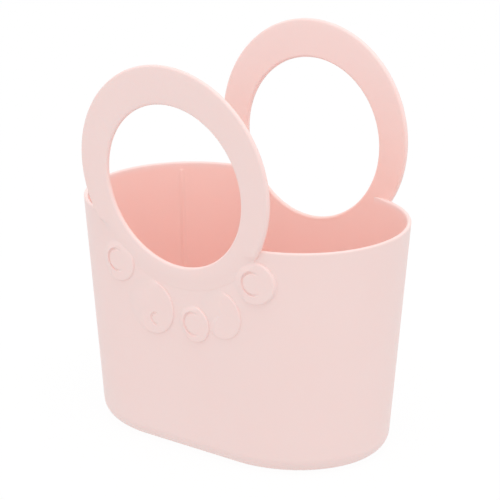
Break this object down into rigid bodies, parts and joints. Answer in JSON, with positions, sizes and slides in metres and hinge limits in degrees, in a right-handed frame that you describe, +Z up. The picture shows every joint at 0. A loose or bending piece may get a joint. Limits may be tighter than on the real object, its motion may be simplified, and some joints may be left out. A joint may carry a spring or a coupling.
{
  "type": "shower caddy",
  "caption": "Oval open-top plastic tote for bath items, with a tall ring handle rising from each long side, sloping walls, a rounded foot and raised scrollwork.",
  "frame": {"origin": "middle of the base, on the surface it stands on", "axes": "+Z up out of the open top, X along the long sides, -Y towards the front ring handle"},
  "size_m": [0.27, 0.1826, 0.305],
  "materials": {
    "moulded_plastic": "satin moulded, pale pink"
  },
  "bodies": {
    "root": {"tub_floor": "moulded_plastic", "tub_wall": "moulded_plastic", "front_handle": "moulded_plastic", "rear_handle": "moulded_plastic", "front_scroll_1": "moulded_plastic", "front_scroll_2": "moulded_plastic", "front_scroll_3": "moulded_plastic", "front_scroll_4": "moulded_plastic", "front_scroll_5": "moulded_plastic", "rear_scroll_1": "moulded_plastic", "rear_scroll_2": "moulded_plastic", "rear_scroll_3": "moulded_plastic", "rear_scroll_4": "moulded_plastic", "rear_scroll_5": "moulded_plastic", "corner_ribs": "moulded_plastic"}
  },
  "joints": []
}
